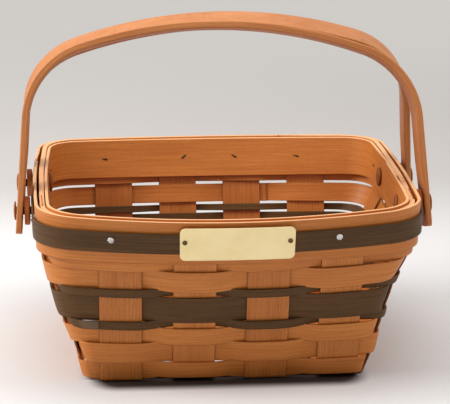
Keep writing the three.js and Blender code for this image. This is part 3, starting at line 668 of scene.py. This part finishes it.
def upright_wall(lengthwise, k, way, across, thick):
    """One wall's part of an upright from its top to the foot, and how far out its bend starts.
    It gives way to each weaver, straight from one to the next, and is thinned by a smooth step
    between the rim bands. The bend is an arc of the angle at which the wall leans out."""
    side = ((FRONT, BACK) if lengthwise else (LEFT, RIGHT))[way > 0]
    t = place_on(side, across)
    end = ENDS * side + (k if side in (FRONT, RIGHT) else ENDS - 1 - k)
    axis = 1 if lengthwise else 0
    foot = wall(t, FLOOR, 0.0)
    above = wall(t, FLOOR + FOOT_BEND, 0.0)
    turn = np.arctan2(FOOT_BEND, (above[:, axis] - foot[:, axis]) * way)
    start = np.abs(foot[:, axis]) - FOOT_BEND * np.tan(turn / 2)
    top = float(np.mean(lifted(t, RIM))) - TOP_DROP
    low = float(np.mean(FLOOR + FOOT_BEND * (1 - np.cos(turn))))
    heights = np.linspace(top, low + FOLD_GAP, WALL_STEPS)
    lag_share = (1 + way * LAG_PART * lengthwise) / 2
    middles = np.array(row_low) + np.array(row_rise) / 2 + np.array(row_lag) * lag_share
    signs = [-1 if (end + row) % 2 == 0 else 1 for row in range(1, len(ROWS) + 1)]
    free = np.clip((heights - GIVE_FROM) / GIVE_OVER, 0, 1)
    wave = GIVE * free * np.interp(heights, middles, signs)
    thin = 1 - TOP_THIN * ramp(heights, top - THIN_TO, top - THIN_FROM)
    sections = wall(t, heights[:, None], thick * thin[:, None] + wave[:, None])
    is_over = (k + (0 if way < 0 else ENDS - 1)) % 2 == (0 if lengthwise else 1)
    s = np.linspace(1, 0, FOLD_STEPS)[:, None]
    radius = FOOT_BEND + thick + (CROSS if is_over else -CROSS) * (1 - s)
    reach = way * (start + radius * np.sin(turn * s))
    z = FLOOR + FOOT_BEND - radius * np.cos(turn * s)
    across = np.broadcast_to(across, z.shape)
    fold = np.stack([across, reach, z] if lengthwise else [reach, across, z], -1)
    return np.concatenate([sections, fold]), float(np.mean(start))


def upright(name, node, lengthwise, k, tint):
    """Upright: down one wall, across the bottom, over and under the others by a flattened
    cosine, and up the other wall."""
    pitch, other = (PITCH_X, PITCH_Y) if lengthwise else (PITCH_Y, PITCH_X)
    share, reach, thick = profile(SPLINT, UPRIGHT_EDGE, UPRIGHT_COLUMNS)
    across = (k - MIDDLE) * pitch + (share - 0.5) * STAKE_W + reach
    near, near_start = upright_wall(lengthwise, k, -1, across, thick)
    far, far_start = upright_wall(lengthwise, k, 1, across, thick)
    run = np.linspace(FLOOR_GAP - near_start, far_start - FLOOR_GAP, FLOOR_STEPS)
    beat = np.cos(np.pi * (np.clip(run / other, -MIDDLE, MIDDLE) + MIDDLE))
    sign = 1 if k % 2 == (0 if lengthwise else 1) else -1
    wave = CROSS * sign * swing(np.clip(beat / FLAT, -1, 1))
    a, r = np.broadcast_arrays(across[None, :], run[:, None])
    z = FLOOR - wave[:, None] - thick[None, :]
    bottom = np.stack([a, r, z] if lengthwise else [r, a, z], -1)
    grid = np.concatenate([near, bottom, far[::-1]])
    around = around_section(share, reach, thick, STAKE_W)
    shift = UPRIGHT_SHIFT * (k + 1) + (0 if lengthwise else CROSS_SHIFT)
    # Painted shade on the side edges
    cut_and_shading = UPRIGHT_EDGE_SHADE * is_edge(thick, SPLINT)
    piece = grid_piece(f"{name}_{k + 1}", grid, lengths(grid[:, 3]), around, tint, shift, cut_and_shading)
    finish(piece, ribbed, f"{node}_{k + 1}")


for k in range(ENDS):
    upright("upright", "front_to_back_stake", True, k, LONG_TINTS[k])
    upright("cross_upright", "side_to_side_stake", False, k, CROSS_TINTS[k])


# Rim bands: the taper beside their laps, how far the upper and the lower end stand off and how
# much both thin, in thicknesses, their widths, the trim's drop and the rounded edges
BAND_TAPER, BAND_OVER, BAND_UNDER, BAND_THIN = 0.6, 0.3, 0.2, 0.4
INNER_W, OUTER_W, TRIM_W, TRIM_DROP = 25.4, 28.2, 13.2, 7.5
BAND_EDGE, TRIM_EDGE = 0.4, 0.25


def rim_strip(name, node, start, lap, inner, thick, width, material, slot, drop=0.0,
              edge=BAND_EDGE, outwards=1, **look):
    """Band along the rim's sweep, whose thinned ends lap for the given count of upright ends.
    inner is its inner face's offset and drop how far below the rim it lies."""
    t, _, under, over = lapped(start, lap, BAND_TAPER)
    offset = inner + thick / 2 + outwards * thick * (BAND_OVER * over - BAND_UNDER * under)
    high = lifted(t, RIM) - drop
    thin = 1 - BAND_THIN * (over + under)
    piece = wall_strip(name, t, high - width / LEVEL, high, offset, thick, edge, thin=thin, **look)
    finish(piece, material, node)


# Edge tones of the bands and the trim: painted shade on the lower edges, and on the bands' upper
# edges the cut's colour, partly a painted highlight
rim_strip(
    "inner_band", "inner_rim_band", 5.0, 0.9, -BAND_OUT, BAND, INNER_W, pale, "pale_splint",
    outwards=-1, columns=8, tint=0.9, shift=2.1, edge_tones=(-0.5, 0.9))
rim_strip(
    "outer_band", "outer_rim_band", 12.6, 1.6, BAND_IN, BAND, OUTER_W, pale, "pale_splint",
    columns=9, tint=0.2, shift=3.3, edge_tones=(-0.7, 0.9))
rim_strip(
    "dark_trim", "trim_strip", 1.0, 0.8, TRIM_IN, TRIM, TRIM_W, dark, "dark_splint",
    drop=TRIM_DROP, edge=TRIM_EDGE, columns=5, tint=0.2, shift=4.7, edge_tones=(-0.8, 0.0))


# Plate: how far below the nails' line its middle lies, the points to a corner and along it
PLATE_DROP, PLATE_EDGE = 1.2, 0.25
PLATE_CORNER_STEPS, PLATE_STEPS, PLATE_COLUMNS = 9, 50, 7


def name_plate():
    """Bare sheet bent to the front, whose half height falls off round the corners by a quarter
    of a circle."""
    half_w, half_h, r = PLATE_W / 2, PLATE_H / 2, PLATE_CORNER
    a = np.linspace(0, math.pi / 2, PLATE_CORNER_STEPS)
    rounded = half_w - r * (1 - np.cos(a))
    straight = np.linspace(r - half_w, half_w - r, PLATE_STEPS)[1:-1]
    x = np.concatenate([-rounded, straight, rounded[::-1]])
    corner = np.maximum(np.abs(x) - (half_w - r), 0)
    half = (half_h - r + np.sqrt(np.maximum(r * r - corner ** 2, HAIR))) / LEVEL
    middle = RIM - NAIL_DROP - PLATE_DROP
    offset = np.full(len(x), TRIM_OUT + SEAM + PLATE_T / 2)
    t = place_on(FRONT, x + PLATE_SHIFT)
    piece = wall_strip(
        "bare_plate", t, middle - half, middle + half, offset, PLATE_T, PLATE_EDGE, PLATE_COLUMNS)
    finish(piece, brass, "name_plate")


name_plate()


# Nails: radius of the rim's and the plate's, the plate's inset from its end, the shank's radius,
# point, distance from the inner band's face and neck, how far the head stands off, and its dome
# as shares of the radius with heights
RIM_NAIL_R, PLATE_NAIL_R, PLATE_INSET = 2.0, 1.5, 2.8
SHANK_R, SHANK_POINT, SHANK_SHORT, SHANK_NECK, HEAD_OFF = 0.8, 0.5, 0.4, 0.1, 0.05
NAIL_DOME = ((0.8, 0), (1, 0.12), (1, 0.35), (0.9, 0.55), (0.62, 0.7), (0.3, 0.76), (0, 0.78))
NAIL_SEGMENTS = 20
# Turned-over point: length, the part behind the shank, largest radius, flatness, taper, how far
# in from the band it lies, its steps and the grain's way round
POINT_LONG, POINT_BACK, POINT_R, POINT_FLAT, POINT_TAPER = 4.2, 0.8, 0.7, 0.7, 0.6
POINT_IN, POINT_STEPS, POINT_ROUND = 0.12, 12, 4
# Nails in the rim: node, place and how its point is turned over, as an angle in radians
RIM_NAILS = [
    ("rim_nail_front_left", -0.1, 0.4), ("rim_nail_front_right", 2.9, 2.7),
    ("rim_nail_back_outer_right", 8.1, 0.25), ("rim_nail_back_inner_right", 9.08, 0.5),
    ("rim_nail_back_inner_left", 9.92, 2.5), ("rim_nail_back_outer_left", 11.12, 0.15),
    ("rim_nail_right_front", 4, 0.3), ("rim_nail_right_back", 7, 2.8),
    ("rim_nail_left_back", 12, 0.5), ("rim_nail_left_front", 15, 0.2),
]


def seat(t, z, off):
    """Point of the wall and its outward normal, square to short ways along it and up it."""
    step_t, step_z = 0.01, 0.5
    p = wall(np.array([t, t + step_t, t]), np.array([z, z, z + step_z]), off)
    normal = np.cross(p[1] - p[0], p[2] - p[0])
    return p[0], normal / np.linalg.norm(normal)


def nail_height(t):
    """Height of the nails' line at t."""
    return float(lifted(np.array([t]), RIM - NAIL_DROP)[0])


def nail(node, t, face, radius, material):
    """Tack, turned: a low dome with a worn edge on the given face, and its shank in the wall."""
    point, normal = seat(t, nail_height(t), face + HEAD_OFF)
    length = face + BAND_OUT - SHANK_SHORT
    shank = [(0, -length), (SHANK_R, SHANK_POINT - length), (SHANK_R, -SHANK_NECK)]
    outline = shank + [(radius * share, height) for share, height in NAIL_DOME]
    piece = turned(node.replace("nail", "tack"), outline, point, normal, NAIL_SEGMENTS)
    finish(piece, material, node)


def clinch(name, t, turn):
    """Turned-over nail point on the inner band: a bead along a straight way, with the root of
    1 - (2 s - 1) to the fourth, times a straight taper, for its radius."""
    point, normal = seat(t, nail_height(t), -BAND_OUT - POINT_IN)
    up = np.array([0, 0, 1.0]) - normal * normal[2]
    up /= np.linalg.norm(up)
    way = math.cos(turn) * np.cross(up, normal) + math.sin(turn) * up
    s = np.linspace(0, 1, POINT_STEPS)
    box = np.sqrt(np.clip(1 - (2 * s - 1) ** 4, HAIR, 1))
    radius = POINT_R * box * (1 - POINT_TAPER * s)
    a = np.linspace(0, 2 * math.pi, POINT_STEPS, endpoint=False)
    ring = np.cos(a)[:, None] * np.cross(way, normal)
    ring = ring - POINT_FLAT * np.sin(a)[:, None] * normal
    middle = point + (POINT_LONG * s - POINT_BACK)[:, None, None] * way
    grid = middle + radius[:, None, None] * ring[None]
    piece = grid_piece(name, grid, s * POINT_LONG, np.linspace(0, POINT_ROUND, POINT_STEPS))
    finish(piece, dull)


for node, t, turn in RIM_NAILS:
    nail(node, t, TRIM_OUT, RIM_NAIL_R, steel)
    clinch(node.replace("rim_nail", "nail_point"), t, turn)
for node, sign in (("plate_nail_left", -1), ("plate_nail_right", 1)):
    t = place_on(FRONT, PLATE_SHIFT + sign * (PLATE_W / 2 - PLATE_INSET))
    nail(node, t, TRIM_OUT + SEAM + PLATE_T, PLATE_NAIL_R, tack)


# Handles: points round a tip, along an arm and along an arc, over what length above the washer
# the arm thickens, the least square of a tip's half width, and the edge's angles in degrees
# and supporting lines
TIP_STEPS, ARM_STEPS, ARC_STEPS = 8, 30, 60
THICKEN_OVER, TIP_LEAST = 20, 0.05
HANDLE_ANGLES, FACE_SUPPORT, SIDE_SUPPORT = (0, 30, 60, 90), 1, 0.5
HANDLE_SHIFT, NEAR_TINT, FAR_TINT = 5.0, 0.5, 0.65


def handle_side(side):
    """Outer edge of one side of a handle from the tail to the crest, as u, v and the outward
    normal's angle: a straight arm, the shoulder's circle and the crest's, each tangent to the
    next. The shoulder's centre is the difference of the radii away from the crest's."""
    lean = math.atan(ARM_SHARE)
    inwards = np.array([-math.cos(lean), -math.sin(lean)])
    upwards = np.array([inwards[1], -inwards[0]])
    start = np.array([HALF, 0]) + inwards * SHOULDER_R
    crest = np.array([-side * CREST_SHIFT, RISE - CREST_R])
    apart = start - crest
    back = apart @ upwards
    far = apart @ apart - (CREST_R - SHOULDER_R) ** 2
    shoulder = start + upwards * (math.sqrt(back ** 2 - far) - back)
    top = math.atan2(shoulder[1] - crest[1], shoulder[0] - crest[0])
    foot = (shoulder - inwards * SHOULDER_R)[1]
    tip = TIP_R * (1 - np.cos(np.linspace(0, math.pi / 2, TIP_STEPS)))
    v = np.concatenate([tip - TAIL, np.linspace(TIP_R - TAIL, foot, ARM_STEPS)[1:-1]])
    stretches = [np.stack([HALF - ARM_SHARE * v, v, np.full(len(v), lean)], -1)]
    for centre, radius, low, high in (
        (shoulder, SHOULDER_R, lean, top), (crest, CREST_R, top, math.pi / 2),
    ):
        a = np.linspace(low, high, ARC_STEPS, endpoint=radius == CREST_R)
        x, y = centre[0] + radius * np.cos(a), centre[1] + radius * np.sin(a)
        stretches.append(np.stack([x, y, a], -1))
    path = np.concatenate(stretches)
    path[:, 0] *= side
    return path


def handle(name, node, back):
    """Bent strip: a section with crisp edges carried along its outer edge. It is thinned at the
    pivots, and its half width falls off round the ends by a quarter of a circle. It leans until
    it rests on the other one: the sine of the angle to its edge's top is the pivot's distance
    from the middle over the edge's from the pivot."""
    left, right = handle_side(-1), handle_side(1)[::-1]
    left[:, 2] = math.pi - left[:, 2]
    path = np.concatenate([left, right[1:]])
    out = np.stack([np.cos(path[:, 2]), np.sin(path[:, 2])], -1)
    run = lengths(path[:, :2])
    end = np.minimum(run, run[-1] - run)
    tip = TIP_R ** 2 - np.maximum(TIP_R - end, 0) ** 2
    half = HANDLE_W / 2 - TIP_R + np.sqrt(np.maximum(tip, TIP_LEAST))
    thick = ARM_T + (HANDLE_T - ARM_T) * np.clip((end - TAIL - WASHER_R) / THICKEN_OVER, 0, 1)
    r = HANDLE_EDGE
    angles = [math.radians(degrees) for degrees in HANDLE_ANGLES]
    turn = [(-r * (1 - math.sin(b)), r * (1 - math.cos(b))) for b in angles]
    turn = [(-r - FACE_SUPPORT, 0), *turn, (0, r + SIDE_SUPPORT)]
    corners = [(1, y, 0, d) for y, d in turn] + [(1, y, 1, -d) for y, d in turn[::-1]]
    corners += [(-1, -y, 1, -d) for y, d in turn] + [(-1, -y, 0, d) for y, d in turn[::-1]]
    sign, reach, share, depth = np.array(corners).T
    y = sign * half[:, None] + reach
    deep = share * thick[:, None] + depth
    x = path[:, 0, None] - out[:, 0, None] * deep
    z = path[:, 1, None] - out[:, 1, None] * deep
    to_edge = math.hypot(RISE, HANDLE_W / 2)
    lean = math.asin((PIVOT_Y - SEAM / 2) / to_edge) - math.atan(HANDLE_W / 2 / RISE)
    c, s = math.cos(lean), math.sin(lean)
    y, z = y * c + z * s - PIVOT_Y, z * c - y * s + PIVOT_Z
    grid = np.stack([-x, -y, z] if back else [x, y, z], -1)
    around = lengths(grid[len(left) // 2])
    tint = FAR_TINT if back else NEAR_TINT
    piece = grid_piece(name, grid, run, around, tint=tint, shift=HANDLE_SHIFT + back)
    finish(piece, bent, node, node)


handle("near_bow", "front_handle", False)
handle("far_bow", "back_handle", True)


# Fittings: the buttons' edges and domes, the dome's first angle and points, the rounding below
# the edge, the washer's rounded edge with its middle point, and the cap's seat and bore
PEG_HEAD_EDGE, PEG_HEAD_RISE, CAP_EDGE, CAP_RISE = 0.5, 1.0, 0.7, 1.3
DOME_START, DOME_STEPS = 0.12, 9
BUTTON_IN, BUTTON_SOFT, BUTTON_LOW, BUTTON_SHARE = 0.4, 0.1, 0.15, 0.8
WASHER_EDGE, WASHER_SOFT = 0.6, 0.15
CAP_OFF, CAP_BORE_R, CAP_BORE = 0.1, 3.1, 0.9
WASHER_SEGMENTS, PEG_SEGMENTS = 64, 48
# The grain's shifts by the pivot's place
WASHER_SHIFT, PEG_SHIFT, CAP_SHIFT, CAP_TINT = 0.01, 0.02, 0.03, 0.6


def button(radius, edge, rise):
    """Outline of a button's edge and dome, up to the axis: an ellipse over a short edge."""
    angles = np.linspace(DOME_START, math.pi / 2, DOME_STEPS)[:-1]
    dome = [(radius * math.cos(b), edge + rise * math.sin(b)) for b in angles]
    foot = [(radius - BUTTON_IN, 0), (radius - BUTTON_SOFT, BUTTON_LOW)]
    return [*foot, (radius, edge * BUTTON_SHARE), *dome, (0, edge + rise)]


def fittings(end, hand):
    """Spacer washer, peg with a domed head and the cap on its inner end, at one pivot."""
    right, y = (1 if hand == "right" else -1), (-PIVOT_Y if end == "front" else PIVOT_Y)
    tag = f"{end}_{hand}"
    inner = min(abs(corner[0]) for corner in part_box(f"handle_washer_{tag}")) / MM
    thick = WASHER_OUT - inner
    out = (right, 0, 0)
    bore, r, edge, soft = PEG_R + SEAM, WASHER_R, WASHER_EDGE, WASHER_SOFT
    face = [(bore, 0), (r - edge, 0), (r - soft, soft), (r, edge)]
    ring = [*face, *((radius, thick - low) for radius, low in face[::-1]), (bore, 0)]
    place = (right * inner, y, PIVOT_Z)
    spacer = turned(f"spacer_{tag}", ring, place, out, WASHER_SEGMENTS, shift=y * WASHER_SHIFT)
    finish(spacer, block, f"handle_washer_{tag}")
    side = RIGHT if right > 0 else LEFT
    point, normal = seat(place_on(side, y), PIVOT_Z, -BAND_OUT - CAP_OFF)
    shank = PEG_FACE - abs(point[0])
    head = button(PEG_HEAD_R, PEG_HEAD_EDGE, PEG_HEAD_RISE)
    outline = [(0, -shank), (PEG_R, -shank), (PEG_R, 0), *head]
    place = (right * PEG_FACE, y, PIVOT_Z)
    peg = turned(f"peg_{tag}", outline, place, out, PEG_SEGMENTS, shift=y * PEG_SHIFT)
    finish(peg, knob, f"handle_peg_{tag}")
    outline = [(0, CAP_BORE), (CAP_BORE_R, CAP_BORE), (CAP_BORE_R, 0)]
    outline += button(CAP_R, CAP_EDGE, CAP_RISE)
    cap = turned(f"cap_{tag}", outline, point, -normal, PEG_SEGMENTS, CAP_TINT, y * CAP_SHIFT)
    finish(cap, knob, f"peg_cap_{tag}")


for end in ("front", "back"):
    for hand in ("left", "right"):
        fittings(end, hand)


# Floor, in metres: the stretches over which it turns to another tone: axis, from, to, how much
# of the new tone comes, how it comes, and the tone. The tones are painted light falloff: greyer
# behind, far off and to the right, where less lamp light falls, and paler again near the basket
BACKDROP = srgb(208, 204, 200)
# The second tone is a painted contact shadow along the basket's foot
FLOOR_TONE, PAINTED_CONTACT_SHADOW = srgb(224, 223, 222), srgb(54, 45, 40)
PAINTED_FLOOR_FALLOFF = [
    ("Y", 0.2, 0.46, 1.0, "SMOOTHSTEP", srgb(194, 190, 187)),
    ("Y", 0.7, 1.4, 1.0, "LINEAR", srgb(208, 205, 202)),
    ("X", -0.15, 0.35, 0.3, "LINEAR", srgb(176, 172, 170)),
    ("Y", 0.22, 0.02, 1.0, "SMOOTHSTEP", srgb(225, 223, 222)),
]
# The foot's half width and half depth, how far in from its edge the painted contact shadow
# reaches, and over which distances that painted shadow fades. Where the floor turns to the
# backdrop
FOOT, FOOT_IN, FOOT_FADE = (0.066, 0.078, 1), 0.008, (0.008, 0.022)
FAR_FADE = (0.6, 1.25)
FLOOR_HALF, FLOOR_Z = 6.0, -0.0002


def floor_material():
    """Pale floor with painted light: greyer behind, far off and to the right and paler near the
    basket as painted falloff, and darkened along the basket's foot as a painted contact shadow,
    by the distance from the square that the uprights stand on: the length of what |x| and |y|
    have beyond it, or the depth inside it. Far off, where it is seen straight or in a shiny
    surface, it glows with the backdrop's tone instead of being lit."""
    n = Nodes(bpy.data.materials.new("floor"))
    place = n.place()
    axes = n.split(place)
    colour = FLOOR_TONE
    for axis, start, end, part, kind, tone in PAINTED_FLOOR_FALLOFF:
        colour = n.mix(n.band(axes[axis], start, end, 0.0, part, kind), colour, tone)
    beyond = n.vector("SUBTRACT", n.vector("ABSOLUTE", place), FOOT)
    axes = n.split(beyond)
    # Painted contact shadow: dark inside the foot's square and near its edge, fading outwards
    inside = n.math("MULTIPLY_ADD", n.math("MAXIMUM", axes["X"], axes["Y"]), -1.0, -FOOT_IN)
    outside = n.vector("LENGTH", n.vector("MAXIMUM", beyond), result="Value")
    away = n.band(n.math("MAXIMUM", outside, inside), *FOOT_FADE, kind="SMOOTHSTEP")
    floor = n.surface(
        Base_Color=n.mix(away, PAINTED_CONTACT_SHADOW, colour), Roughness=0.9, Specular_IOR_Level=0.1)
    # Far off the floor glows with the backdrop's tone for rays that see it straight or in a shiny
    # surface: a glowing stand-in for a lit backdrop
    from_middle = n.vector("LENGTH", place, result="Value")
    is_far = n.math("MULTIPLY", n.band(from_middle, *FAR_FADE, kind="SMOOTHSTEP"), n.seen())
    glow = n.put(n.new("Emission"), {"Color": BACKDROP}, 0)
    mixer = n.new("MixShader")
    mixed = n.put(mixer, {0: is_far, 1: n.shader.outputs[0], 2: glow}, 0)
    n.put(n.tree.nodes["Material Output"], {"Surface": mixed}, None)
    return floor


floor_corners = [
    (x * FLOOR_HALF, y * FLOOR_HALF, FLOOR_Z) for x, y in ((-1, -1), (1, -1), (1, 1), (-1, 1))]
floor_piece = new_object("floor", floor_corners, [(0, 1, 2, 3)])
floor_piece.data.materials.append(floor_material())


# Lamps: place, target, width and depth in metres, power in watts and colour
WARM, PLAIN = (1, 0.99, 0.975), (1, 0.99, 0.98)
LAMPS = {
    "key": ((-0.1, 0.1, 1.5), (0, 0.05, 0.05), (1.6, 1.5), 17, WARM),
    "left_side": ((-1.4, -0.1, 0.95), (0.05, 0, 0.08), (0.9, 0.9), 24, PLAIN),
    "right_side": ((1.2, -0.25, 1.35), (0, 0, 0.08), (0.9, 0.9), 11, PLAIN),
    "front_fill": ((-0.2, -1.9, 0.7), (0, 0, 0.05), (1.6, 0.8), 2.6, WARM),
    "backdrop": ((0, 1.8, 1.1), (0, 2.0, 0), (2.6, 0.8), 9, PLAIN),
}
FILL = (0.17, 0.168, 0.166, 1)


def area(name, place, target, size, power, colour):
    """Soft rectangular lamp that points at its target."""
    light = bpy.data.lights.new(name, "AREA")
    light.shape = "RECTANGLE"
    light.size, light.size_y = size
    light.energy = power
    light.color = colour
    lamp = add(name, light)
    lamp.location = place
    lamp.rotation_euler = (Vector(target) - Vector(place)).to_track_quat("-Z", "Y").to_euler()


def studio_world():
    """Dim fill all round, seen as the backdrop's tone."""
    n = Nodes(bpy.data.worlds.new("studio"))
    colour = n.mix(n.seen(), FILL, BACKDROP)
    n.put(n.tree.nodes["Background"], {"Color": colour}, 0)
    return n.owner


for name, values in LAMPS.items():
    area(name, *values)
bpy.context.scene.world = studio_world()

# Camera fitted to the photo: focal length and width in its pixels, the sensor's width in
# millimetres, the place in metres, and the tilt down and the turn in degrees
FOCAL_PX, PHOTO_W, SENSOR = 2021.3, 450.0, 36.0
CAMERA_PLACE = (-0.08877, -1.24079, 0.40322)
TILT, TURN = 14.092, -4.243
NEAREST, FARTHEST = 0.05, 30.0
camera_data = bpy.data.cameras.new("camera")
camera_data.sensor_width = SENSOR
camera_data.lens = FOCAL_PX * SENSOR / PHOTO_W
camera_data.clip_start, camera_data.clip_end = NEAREST, FARTHEST
camera = add("camera", camera_data)
camera.location = CAMERA_PLACE
camera.rotation_euler = (math.pi / 2 - math.radians(TILT), 0, math.radians(TURN))
bpy.context.scene.camera = camera
bpy.context.scene.view_settings.view_transform = "Standard"
